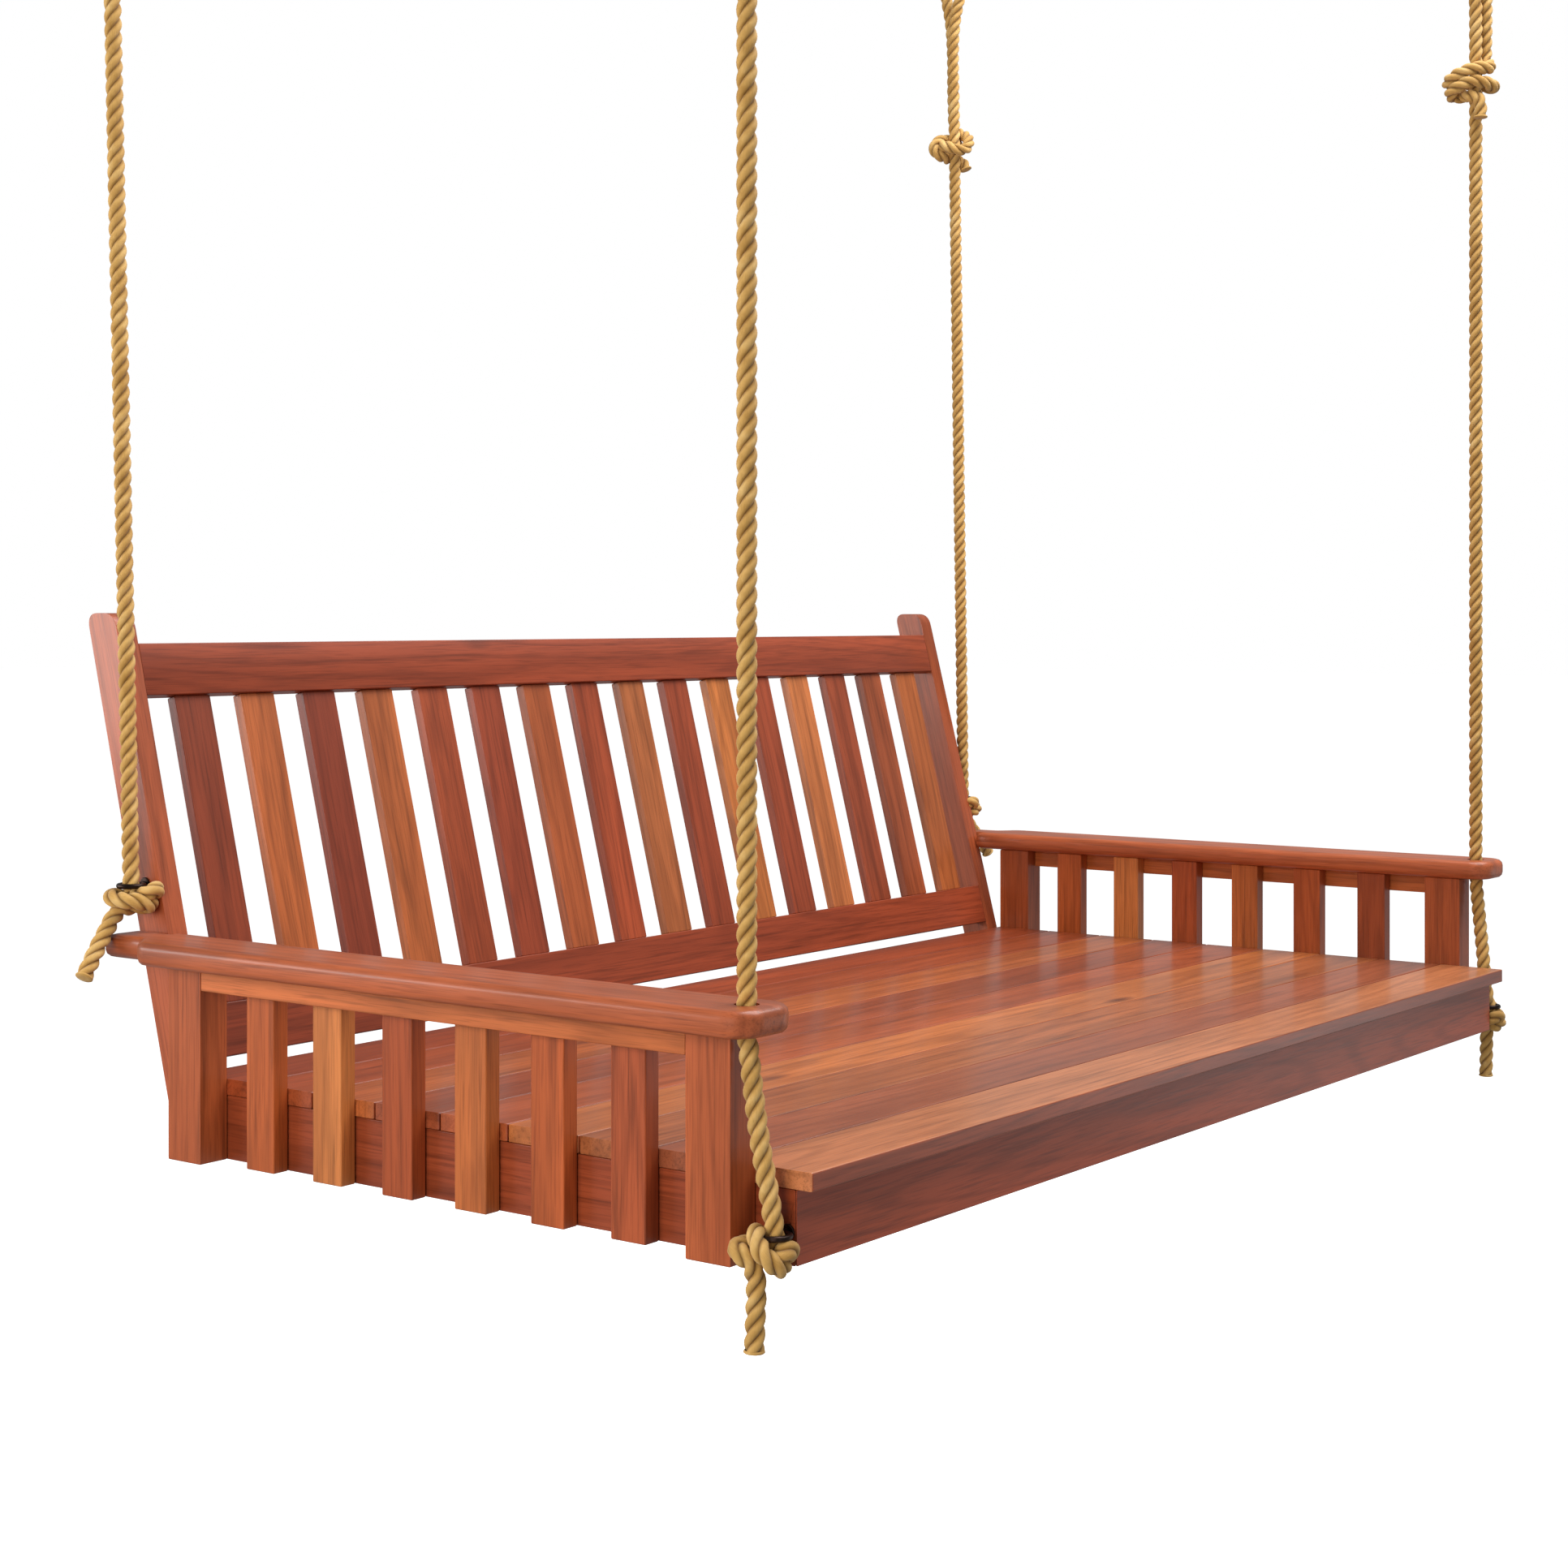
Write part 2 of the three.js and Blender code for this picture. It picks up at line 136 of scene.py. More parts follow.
def bmesh_piece(name, build):
    form = bmesh.new()
    build(form)
    bmesh.ops.recalc_face_normals(form, faces=form.faces)
    data = bpy.data.meshes.new(name)
    form.to_mesh(data)
    form.free()
    return put(bpy.data.objects.new(name, data))


def round_edges(obj, width):
    """Welds a CAD mesh and takes the sharpness off its edges."""
    weld = obj.modifiers.new("weld", "WELD")
    weld.merge_threshold = WELD_DISTANCE
    edge = obj.modifiers.new("edge", "BEVEL")
    edge.width = width
    edge.segments = 3
    edge.limit_method = "ANGLE"
    edge.angle_limit = math.radians(30)
    edge.harden_normals = True


def shade(piece, degrees):
    """Smooth, but sharp over edges that turn more than this."""
    piece.data.polygons.foreach_set("use_smooth", [True] * len(piece.data.polygons))
    piece.data.set_sharp_from_angle(angle=math.radians(degrees))


def even_normals(piece):
    weighted = piece.modifiers.new("even", "WEIGHTED_NORMAL")
    weighted.keep_sharp = True


def ring_strip(form, rings):
    """Joins closed rings of points into a skin, with flat ends."""
    made = [[form.verts.new(p) for p in ring] for ring in rings]
    count = len(rings[0])
    for one, two in zip(made, made[1:]):
        for n in range(count):
            m = (n + 1) % count
            form.faces.new((one[n], one[m], two[m], two[n]))
    form.faces.new(made[0][::-1])
    form.faces.new(made[-1])


# ---- ropes ------------------------------------------------------------------------------------
ROPE_RADIUS = 0.0115
STRAND_RADIUS = 0.0066
STRAND_OFFSET = ROPE_RADIUS - STRAND_RADIUS
LAY_LENGTH = 0.056                       # one turn of the strands
RING_STEP = 0.0026
# Points round a strand, from its outermost one. The hidden inner side needs few.
STRAND_ANGLES = np.radians([0, 24, 48, 72, 100, 180, 260, 288, 312, 336])
STRAND_OUT = STRAND_OFFSET + STRAND_RADIUS * np.cos(STRAND_ANGLES)
STRAND_SIDE = STRAND_RADIUS * np.sin(STRAND_ANGLES)
# Depth into the rope, which drives the painted shade between the strands.
STRAND_DEPTH = 1 - np.hypot(STRAND_OUT, STRAND_SIDE) / ROPE_RADIUS

# Heights over the deck and sizes of the loop at a rope's upper end.
BEARING = 1.900                          # middle of the bar that the loop hangs on
KNOT_HEIGHT = 1.507
LOOP_MIDDLE = 1.8921
LOOP_RADIUS = 0.030
LOOP_SHIFT = 0.006                       # from the standing rope out to the loop's plane
STRAIGHT_TOP = 1.450                     # the standing rope is straight up to here
STRAIGHT_POINTS = 6

# Each knot is a list of (across, outward, up) points from the eye or the standing rope, as seen from the
# front left: across runs to the right and outward to the viewer. Stoppers are those of the left ropes and
# hitches those of the right ones; the other side has the mirror image.
ACROSS = Vector((0.6, -0.8, 0))
OUTWARD = Vector((-0.8, -0.6, 0))
FRONT_STOPPER = [
    (0.001, 0.000, -0.012), (0.005, -0.005, -0.018), (0.011, -0.006, -0.021), (0.016, 0.002, -0.015),
    (0.012, 0.012, -0.014), (0.002, 0.012, -0.020), (-0.008, 0.004, -0.024), (-0.015, -0.008, -0.018),
    (-0.017, -0.012, -0.006), (-0.019, -0.004, 0.002), (-0.019, 0.009, 0.001), (-0.016, 0.019, -0.009),
    (-0.008, 0.023, -0.019), (0.002, 0.019, -0.028), (0.007, 0.006, -0.032), (0.000, -0.008, -0.028),
    (-0.016, -0.014, -0.018), (-0.032, -0.010, -0.012), (-0.041, 0.002, -0.012), (-0.036, 0.013, -0.016),
    (-0.026, 0.013, -0.026), (-0.021, 0.009, -0.040), (-0.020, 0.008, -0.060), (-0.021, 0.008, -0.090),
    (-0.022, 0.008, -0.122),
]
REAR_STOPPER = [
    (0.001, 0.000, -0.010), (0.006, 0.005, -0.014), (0.016, 0.010, -0.012), (0.028, 0.012, -0.007),
    (0.034, 0.003, -0.005), (0.028, -0.009, -0.010), (0.010, -0.016, -0.016), (-0.010, -0.015, -0.017),
    (-0.024, -0.004, -0.015), (-0.022, 0.012, -0.015), (-0.008, 0.022, -0.017), (0.008, 0.023, -0.018),
    (0.020, 0.017, -0.021), (0.026, 0.005, -0.025), (0.016, -0.006, -0.027), (0.000, -0.004, -0.028),
    (-0.013, 0.004, -0.031), (-0.020, 0.013, -0.040), (-0.026, 0.026, -0.056), (-0.033, 0.042, -0.076),
    (-0.039, 0.056, -0.095), (-0.044, 0.068, -0.112),
]
FRONT_HITCH = [
    (0.0206, -0.012, 0.040), (0.023, -0.002, 0.028), (0.015, 0.018, 0.020), (-0.004, 0.024, 0.019),
    (-0.026, 0.019, 0.013), (-0.043, 0.006, 0.004), (-0.044, -0.010, -0.002), (-0.030, -0.022, 0.000),
    (-0.006, -0.025, 0.002), (0.016, -0.022, -0.002), (0.029, -0.008, -0.008), (0.025, 0.013, -0.010),
    (0.007, 0.025, -0.006), (-0.014, 0.024, -0.004), (-0.032, 0.017, -0.010), (-0.043, 0.004, -0.019),
    (-0.036, -0.010, -0.024), (-0.021, -0.006, -0.024), (-0.014, 0.012, -0.026), (-0.002, 0.023, -0.034),
    (0.001, 0.024, -0.048), (0.001, 0.025, -0.066),
]
REAR_HITCH = [
    (0.004, -0.024, 0.040), (0.016, -0.019, 0.032), (0.025, -0.006, 0.024), (0.027, 0.008, 0.012),
    (0.020, 0.019, -0.002), (0.006, 0.025, -0.005), (-0.010, 0.023, 0.000), (-0.022, 0.014, 0.005),
    (-0.024, 0.000, 0.006), (-0.014, -0.014, 0.004), (0.002, -0.022, 0.004), (0.008, -0.026, 0.012),
    (-0.002, -0.024, 0.019), (-0.018, -0.012, 0.020), (-0.032, 0.000, 0.015), (-0.040, 0.006, 0.004),
    (-0.037, 0.008, -0.008), (-0.025, 0.006, -0.015), (-0.012, -0.008, -0.017), (0.002, -0.021, -0.017),
    (0.014, -0.018, -0.021), (0.020, -0.012, -0.030), (0.023, -0.010, -0.038),
]

# The routes of the ropes on the right, as (out, back, height over the deck) points or (out, back) offsets.
# line is where the standing rope is at the height of its pivot, and lean how far it has moved at the
# bearing. leg is the second leg's offset from it. below has the points from the eye up to the pivot.
ROPES = {
    "front": {
        "line": (1.019, -0.5175),
        "pivot": 0.187,
        "lean": (0.0, 0.0),
        "leg": (0.022, -0.009),
        "eye": (1.0062, -0.5455, -0.0675),
        "below": [(1.0062, -0.5455, -0.0675), (1.0062, -0.5410, -0.0400), (1.0140, -0.5300, 0.0400),
                  (1.0180, -0.5195, 0.1280), (1.0190, -0.5175, 0.1500), (1.0190, -0.5175, 0.1750)],
        "stopper": FRONT_STOPPER,
        "hitch": FRONT_HITCH,
    },
    "rear": {
        "line": (1.0072, 0.51396),
        "pivot": 0.240,
        "lean": (0.015, 0.036),
        "leg": (0.019, 0.014),
        "eye": (1.0072, 0.51396, 0.240),
        "below": [(1.0072, 0.51396, 0.240)],
        "stopper": REAR_STOPPER,
        "hitch": REAR_HITCH,
    },
}


def corner_point(middle, flip, point):
    """A knot's point in the frame. flip is 1 on the side that the knot is drawn for, -1 on the other."""
    across, outward, up = point
    step = ACROSS * across + OUTWARD * outward
    return middle + Vector((flip * step.x, step.y, up))


def smooth_line(points, step):
    """An even run of points along a smooth curve through the given ones."""
    ends = [2 * points[0] - points[1]] + list(points) + [2 * points[-1] - points[-2]]
    fine = []
    for p0, p1, p2, p3 in zip(ends, ends[1:], ends[2:], ends[3:]):
        spans = [max((b - a).length, 1e-6) ** 0.5 for a, b in ((p0, p1), (p1, p2), (p2, p3))]
        k0, k1, k2, k3 = np.cumsum([0] + spans)
        pieces = max(4, int((p2 - p1).length / step))
        for t in np.linspace(k1, k2, pieces, endpoint=False):
            a1 = p0.lerp(p1, (t - k0) / (k1 - k0))
            a2 = p1.lerp(p2, (t - k1) / (k2 - k1))
            a3 = p2.lerp(p3, (t - k2) / (k3 - k2))
            b1 = a1.lerp(a2, (t - k0) / (k2 - k0))
            b2 = a2.lerp(a3, (t - k1) / (k3 - k1))
            fine.append(b1.lerp(b2, (t - k1) / (k2 - k1)))
    line = np.array([tuple(p) for p in fine + [points[-1]]])
    along = np.concatenate([[0], np.cumsum(np.linalg.norm(np.diff(line, axis=0), axis=1))])
    even = np.linspace(0, along[-1], int(along[-1] / step) + 1)
    return np.stack([np.interp(even, along, line[:, n]) for n in range(3)], 1)


def unit_rows(rows):
    return rows / np.linalg.norm(rows, axis=1)[:, None]


def headings(line):
    return unit_rows(np.gradient(line, axis=0))


def carried_frames(line):
    """At each point, two directions square to the line, carried along it without twist."""
    ways = headings(line)
    first = np.cross(ways[0], (0.0, 1.0, 0.0))
    ones = [first / np.linalg.norm(first)]
    for way in ways[1:]:
        kept = ones[-1] - way * np.dot(ones[-1], way)
        ones.append(kept / np.linalg.norm(kept))
    ones = np.array(ones)
    return ones, np.cross(ways, ones)


def strand_rings(line, start, end):
    """Points of the three strands from ring start to ring end, with a map along and round the rope."""
    one, two = carried_frames(line)
    middle, one, two = (rows[start:end, None] for rows in (line, one, two))
    along = np.arange(start, end)[:, None] * RING_STEP
    points, uvs = [], []
    for strand in range(3):
        phase = (along / LAY_LENGTH + strand / 3) * 2 * math.pi
        a = STRAND_OUT * np.cos(phase) - STRAND_SIDE * np.sin(phase)
        b = STRAND_OUT * np.sin(phase) + STRAND_SIDE * np.cos(phase)
        points.append(middle + a[..., None] * one + b[..., None] * two)
        around = phase + np.arctan2(STRAND_SIDE, STRAND_OUT)
        uvs.append(np.stack([around * ROPE_RADIUS, np.broadcast_to(along, around.shape)], -1))
    return np.stack(points, 1), np.stack(uvs, 1)


def rope_piece(name, line, start, end, cut=None):
    """A stretch of three-strand rope. cut is the end that is sawn off flat: first or last."""
    points, uvs = strand_rings(line, start, end)
    rings, strands, sides = points.shape[:3]
    index = np.arange(rings * strands * sides).reshape(rings, strands, sides)
    beside = np.roll(index, -1, 2)
    faces = np.stack([index[:-1], beside[:-1], beside[1:], index[1:]], -1).reshape(-1, 4).tolist()
    points = points.reshape(-1, 3)
    uvs = uvs.reshape(-1, 2)
    depth = np.tile(STRAND_DEPTH, rings * strands)
    if cut:
        at = start if cut == "first" else end - 1
        disc, disc_uvs, disc_faces = cut_end(line, at, len(points))
        points = np.concatenate([points, disc])
        uvs = np.concatenate([uvs, disc_uvs])
        depth = np.concatenate([depth, np.zeros(len(disc))])
        faces += disc_faces
    piece = mesh_piece(name, points, faces, uvs)
    # Painted shade: the deeper a point lies between the strands, the darker it is painted.
    groove_shade = piece.data.attributes.new("groove_shade", "FLOAT", "POINT")
    groove_shade.data.foreach_set("value", depth.astype(np.float32))
    return piece


CUT_SIDES = 24
CUT_PROFILE = (                          # radius, and height past the rope's last ring
    (0.0106, -0.0030), (0.0117, -0.0016), (0.0118, -0.0004), (0.0108, 0.0004), (0.0050, 0.0006),
)


def cut_end(line, at, first):
    """A melted, flattened disc that closes the rope where it was cut, its points numbered from first."""
    inner = at + 1 if at == 0 else at - 1
    way = line[at] - line[inner]
    way /= np.linalg.norm(way)
    side = np.cross(way, (0.3, 0.7, 0.1))
    side /= np.linalg.norm(side)
    other = np.cross(way, side)
    angles = np.linspace(0, 2 * math.pi, CUT_SIDES, endpoint=False)
    circle = np.cos(angles)[:, None] * side + np.sin(angles)[:, None] * other
    disc = np.concatenate([line[at] + circle * radius + way * lift for radius, lift in CUT_PROFILE])
    rings = first + np.arange(len(disc)).reshape(len(CUT_PROFILE), CUT_SIDES)
    faces = []
    for low, high in zip(rings, rings[1:]):
        ends = (low, np.roll(low, -1), np.roll(high, -1), high)
        faces += np.stack(ends, -1).tolist()
    faces.append(rings[-1].tolist())
    around = np.stack([angles * ROPE_RADIUS, np.zeros(CUT_SIDES)], 1)
    return disc, np.tile(around, (len(CUT_PROFILE), 1)), faces


LOOP_HIP = 0.7 * LOOP_RADIUS             # halfway between the loop's side and its top
LOOP_SIDE = LOOP_MIDDLE - 0.005


def top_loop(leg):
    """Up the standing leg, round the thimble and down the second leg, as offsets and a height."""
    out, back = leg

    def to_leg(share, height):
        """A share of the way from the loop's back over to the second leg."""
        across = LOOP_SHIFT + share * (out - LOOP_SHIFT)
        return (across, LOOP_RADIUS + share * (back - LOOP_RADIUS), height)

    return [
        (0, 0, 1.500), (0, 0, 1.600), (0, 0, 1.700),
        (0.001, -0.005, 1.760), (0.003, -0.015, 1.805), (0.005, -0.025, 1.845),
        (LOOP_SHIFT, -LOOP_RADIUS, LOOP_SIDE),
        (LOOP_SHIFT, -LOOP_HIP, LOOP_MIDDLE + LOOP_HIP),
        (LOOP_SHIFT, 0, LOOP_MIDDLE + LOOP_RADIUS),
        (LOOP_SHIFT, LOOP_HIP, LOOP_MIDDLE + LOOP_HIP),
        (LOOP_SHIFT, LOOP_RADIUS, LOOP_SIDE),
        to_leg(0.2, 1.845), to_leg(0.5, 1.805), to_leg(0.85, 1.760),
        (out, back, 1.700), (out, back, 1.600),
    ]


def nearest(line, point):
    return int(np.argmin(np.linalg.norm(line - np.array(tuple(point)), axis=1)))


THIMBLE_REACH = 0.062                    # each way from the top of the loop
THIMBLE_GAP = 0.0004
THIMBLE_THICK = 0.0024
THIMBLE_WRAP = 78                        # degrees round the rope that it covers, each way
THIMBLE_SIDES = 13


def make_thimble(label, line, top, middle):
    """A metal channel that hugs the inside of the rope's bend round a middle point."""
    reach = int(THIMBLE_REACH / RING_STEP)
    bend = line[top - reach:top + reach + 1]
    ways = headings(bend)
    inward = np.array(tuple(middle)) - bend
    inward = unit_rows(inward - ways * (inward * ways).sum(1)[:, None])
    across = np.cross(ways, inward)
    turns = np.radians(np.linspace(-THIMBLE_WRAP, THIMBLE_WRAP, THIMBLE_SIDES))
    near = ROPE_RADIUS + THIMBLE_GAP
    far = near + THIMBLE_THICK
    rings = []
    for point, into, side in zip(bend, inward, across):
        outs = [into * math.cos(t) + side * math.sin(t) for t in turns]
        rings.append([point + out * near for out in outs] + [point + out * far for out in outs[::-1]])
    return bmesh_piece(f"thimble_{label}", lambda form: ring_strip(form, rings))


def finish_rope_part(piece, material):
    piece.data.materials.append(material)


END_RINGS = 400                          # a hitch knot starts within this many rings of the end


def make_rope(end, name, side):
    spec = ROPES[end]
    label = f"{end}_{name}"
    body = f"{label}_rope"
    x, y = spec["line"]
    pivot = spec["pivot"]

    def mirrored(point):
        return Vector((side * point[0], point[1], DECK + point[2]))

    def hung(out, back, height):
        """A place from its offset to the standing rope at its own height."""
        share = (height - pivot) / (BEARING - pivot)
        lean_out, lean_back = spec["lean"]
        return mirrored((x + out + lean_out * share, y + back + lean_back * share, height))

    eye = mirrored(spec["eye"])
    knot_middle = hung(0, 0, KNOT_HEIGHT)
    low = [corner_point(eye, -side, p) for p in spec["stopper"]]
    below = [mirrored(p) for p in spec["below"]]
    step = (STRAIGHT_TOP - pivot) / STRAIGHT_POINTS
    rise = [hung(0, 0, pivot + (n + 1) * step) for n in range(STRAIGHT_POINTS)]
    loop = [hung(*p) for p in top_loop(spec["leg"])]
    high = [corner_point(knot_middle, side, p) for p in spec["hitch"]]
    line = smooth_line(low[::-1] + below + rise + loop + high, RING_STEP)

    at_eye = nearest(line, low[0])
    at_knot = len(line) - 1 - nearest(line[::-1][:END_RINGS], high[0])
    at_top = nearest(line, hung(LOOP_SHIFT, 0, LOOP_MIDDLE + LOOP_RADIUS))
    rope = rope_piece(f"rope_run_{label}", line, at_eye, at_knot + 1)
    stopper = rope_piece(f"stopper_knot_{label}", line, 0, at_eye + 1, cut="first")
    hitch = rope_piece(f"hitch_knot_{label}", line, at_knot, len(line), cut="last")
    thimble = make_thimble(label, line, at_top, hung(LOOP_SHIFT, 0, LOOP_MIDDLE))

    for piece in (rope, stopper, hitch):
        finish_rope_part(piece, MANILA)
    finish_rope_part(thimble, BRONZE)
    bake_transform(rope)
    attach(stopper, "bed")
    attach(hitch, body)
    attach(thimble, body)
    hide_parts(f"rope_{label}")
    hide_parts(f"rope_{label}_lower")


# ---- materials --------------------------------------------------------------------------------
def tint(code, strength=1.0):
    """A screen colour such as b0704e as the shader's own linear colour."""
    parts = [int(code[n:n + 2], 16) / 255 for n in (0, 2, 4)]
    linear = [c / 12.92 if c <= 0.04045 else ((c + 0.055) / 1.055) ** 2.4 for c in parts]
    return tuple(min(1.0, c * strength) for c in linear) + (1.0,)


class Shader:
    """One material, built a node at a time."""

    def __init__(self, name):
        self.material = bpy.data.materials.new(name)
        self.material.use_nodes = True
        self.tree = self.material.node_tree
        self.surface = self.tree.nodes["Principled BSDF"]

    def feed(self, socket, value):
        if isinstance(value, bpy.types.NodeSocket):
            self.tree.links.new(value, socket)
        else:
            socket.default_value = value

    def node(self, kind, inputs=(), **settings):
        made = self.tree.nodes.new("ShaderNode" + kind)
        for key, value in settings.items():
            setattr(made, key, value)
        for key, value in dict(inputs).items():
            self.feed(made.inputs[key], value)
        return made

    def noise(self, vector, scale, detail=3.0, roughness=0.5, distortion=0.0):
        made = self.node("TexNoise", {"Vector": vector, "Scale": scale, "Detail": detail,
                                      "Roughness": roughness, "Distortion": distortion})
        return made.outputs["Fac"]

    def ramp(self, value, stops):
        made = self.node("ValToRGB", {"Fac": value})
        while len(made.color_ramp.elements) < len(stops):
            made.color_ramp.elements.new(0.5)
        for element, (place, color) in zip(made.color_ramp.elements, stops):
            element.position = place
            element.color = color
        return made.outputs["Color"]

    def grey(self, value, stops):
        return self.ramp(value, [(place, (level, level, level, 1)) for place, level in stops])

    def math(self, operation, one, two=0.0):
        made = self.node("Math", operation=operation)
        self.feed(made.inputs[0], one)
        self.feed(made.inputs[1], two)
        return made.outputs[0]

    def stretch(self, value, low, high):
        made = self.node("MapRange", {"Value": value, "To Min": low, "To Max": high})
        return made.outputs["Result"]

    def blend(self, mode, factor, one, two):
        made = self.node("Mix", data_type="RGBA", blend_type=mode)
        self.feed(made.inputs[0], factor)
        self.feed(made.inputs[6], one)
        self.feed(made.inputs[7], two)
        return made.outputs[2]

    def mapped(self, vector, scale=(1, 1, 1), turn=(0, 0, 0), shift=(0, 0, 0)):
        made = self.node("Mapping", {"Vector": vector, "Scale": scale, "Rotation": turn, "Location": shift})
        return made.outputs["Vector"]

    def bump(self, height, strength, distance):
        made = self.node("Bump", {"Height": height, "Strength": strength, "Distance": distance})
        self.feed(self.surface.inputs["Normal"], made.outputs["Normal"])

    def set(self, values):
        for key, value in values.items():
            self.feed(self.surface.inputs[key], value)


def wood(tone, strength):
    """A cedar tone, deeper and redder as it darkens."""
    red, green, blue, _ = tint(tone, strength)
    depth = min(1.0, strength)
    return (red, green * (0.55 + 0.22 * depth), blue * (0.26 + 0.24 * depth), 1)


def along_grain(axis, along, across):
    """The same scale along the grain's axis and another across it."""
    return [along if name == axis else across for name in "xyz"]


def cedar(name, tone, axis, lean=0.0, gloss=0.25, figure=1.0, knots=False, front=None):
    """Varnished cedar with its grain along one axis: cathedral figure, growth lines, fibres and pores.
    front is a tint of painted shade that darkens the faces looking forward."""
    shader = Shader(name)
    place = shader.node("TexCoord")
    shift = [random.uniform(-30, 30) for _ in range(3)]
    turned = shader.mapped(place.outputs["Object"], turn=(lean, 0, 0))
    board = shader.mapped(turned, scale=along_grain(axis, 1, 13), shift=shift)
    fibre = shader.mapped(turned, scale=along_grain(axis, 2.2, 90), shift=shift)

    broad = shader.noise(board, 1.1, detail=2, distortion=0.6)
    field = shader.noise(board, 0.55, detail=1.5, roughness=0.45, distortion=0.25)
    lines = shader.math("SINE", shader.math("MULTIPLY", field, 95.0 * figure))
    lines = shader.grey(lines, [(0.0, 0), (0.45, 0.12), (0.8, 0.7), (1.0, 1)])
    bands = shader.noise(board, 4.5, detail=3, roughness=0.65)
    band_shade = shader.grey(bands, [(0.3, 0.72), (0.5, 0.98), (0.7, 1)])
    streaks = shader.noise(fibre, 2.6, detail=4, roughness=0.65)
    streak_shade = shader.grey(streaks, [(0.3, 0.55), (0.48, 0.97), (0.75, 1)])
    pores = shader.grey(shader.noise(fibre, 7, detail=1), [(0.56, 0), (0.66, 1)])

    dark = wood(tone, 0.5)
    color = shader.ramp(broad, [(0.28, wood(tone, 0.8)), (0.5, wood(tone, 1.06)), (0.74, wood(tone, 1.36))])
    color = shader.blend("MIX", shader.math("MULTIPLY", lines, 0.34), color, dark)
    color = shader.blend("MULTIPLY", 1.0, color, band_shade)
    color = shader.blend("MULTIPLY", 0.9, color, streak_shade)
    color = shader.blend("MIX", shader.math("MULTIPLY", pores, 0.4), color, dark)
    if knots:
        knot_place = shader.mapped(turned, scale=along_grain(axis, 3.2, 9), shift=shift)
        color = add_knots(shader, knot_place, color)
    # Painted shade: the faces looking forward are darkened by the front tint.
    if front:
        facing = shader.node("SeparateXYZ", {"Vector": place.outputs["Normal"]}).outputs["Y"]
        front_shade_mask = shader.node("MapRange", {"Value": facing, "From Min": -0.5, "From Max": -0.9})
        color = shader.blend("MULTIPLY", front_shade_mask.outputs["Result"], color, tint(front))
    relief = shader.math("ADD", shader.math("MULTIPLY", lines, 0.35), streaks)
    shader.bump(relief, 0.10, 0.0005)
    shader.set({
        "Base Color": color,
        "Roughness": shader.stretch(streaks, 0.36, 0.52),
        "Specular IOR Level": 0.3,
        "Coat Weight": gloss,
        "Coat Roughness": 0.2,
    })
    return shader.material


def add_knots(shader, place, color):
    """A few small dark knots."""
    cells = shader.node("TexVoronoi", {"Vector": place, "Scale": 1.0})
    eye = shader.grey(cells.outputs["Distance"], [(0.03, 1), (0.07, 0.7), (0.15, 0)])
    return shader.blend("MIX", shader.math("MULTIPLY", eye, 0.85), color, tint("4a2013"))


def manila():
    """Twisted fibre: pale ridges, painted shade in the grooves between the strands, and hairs along the
    rope.
    """
    shader = Shader("manila")
    place = shader.node("TexCoord")
    lengthwise = shader.mapped(place.outputs["UV"], scale=(2600, 90, 1))
    hairs = shader.noise(lengthwise, 1.0, detail=3, roughness=0.6)
    hair_shade = shader.grey(hairs, [(0.25, 0.66), (0.5, 0.95), (0.7, 1)])
    patches = shader.noise(place.outputs["Object"], 38, detail=3)
    # Painted shade between the strands: the deeper a point lies, the more it is mixed toward dark brown.
    depth = shader.node("Attribute", attribute_name="groove_shade").outputs["Fac"]
    groove_shade = shader.grey(depth, [(0.10, 0), (0.34, 0.8)])
    color = shader.ramp(patches, [(0.3, tint("b98b45")), (0.55, tint("cfa25a")), (0.75, tint("e0b976"))])
    color = shader.blend("MULTIPLY", 0.8, color, hair_shade)
    color = shader.blend("MIX", groove_shade, color, tint("7c5418"))
    shader.bump(hairs, 0.45, 0.0007)
    shader.set({"Base Color": color, "Roughness": 0.82, "Sheen Weight": 0.12, "Sheen Roughness": 0.5})
    return shader.material


def bronze():
    """Oil-rubbed metal: nearly black brown, rubbed lighter in patches, with fine scratches."""
    shader = Shader("bronze")
    place = shader.node("TexCoord").outputs["Object"]
    rubbed = shader.noise(place, 60, detail=4, roughness=0.6)
    scratches = shader.noise(shader.mapped(place, scale=(900, 90, 500)), 1.0, detail=2)
    color = shader.ramp(rubbed, [(0.35, tint("1d1512")), (0.6, tint("3a2a24")), (0.8, tint("6b5248"))])
    shader.bump(shader.math("ADD", rubbed, shader.math("MULTIPLY", scratches, 0.3)), 0.12, 0.0006)
    shader.set({"Base Color": color, "Roughness": shader.stretch(scratches, 0.22, 0.42), "Metallic": 0.85})
    return shader.material


def floor_paint():
    """Pale paint, lifted to white by a little light of its own."""
    shader = Shader("floor_paint")
    patches = shader.noise(shader.node("TexCoord").outputs["Object"], 3)
    shader.set({
        "Base Color": (0.95, 0.95, 0.95, 1),
        "Roughness": shader.stretch(patches, 0.8, 0.9),
        "Emission Color": (1, 1, 1, 1),
        "Emission Strength": 0.72,
    })
    return shader.material


# ---- wood -------------------------------------------------------------------------------------
DECK_TONES = ["b98063", "9c5f4a", "a56a4b", "bb7a50", "a55c3e", "91503a", "aa6742", "9a5236", "974c31"]
SLAT_TONES = ["8e4630", "b06a42", "8c4432", "b26d46", "9b5036", "934935", "a86241", "a15239",
              "a46a49", "924a35", "b77a4c", "904a36", "c08058", "954f3a", "98563d", "b26f48"]
BALUSTER_TONES = ["b8683e", "c78656", "a05434", "af6b41", "a65b37", "965036"]
KNOTTY_BOARDS = (3, 6)                   # places in the lists above, counted from 0
KNOTTY_SLATS = (8, 12)
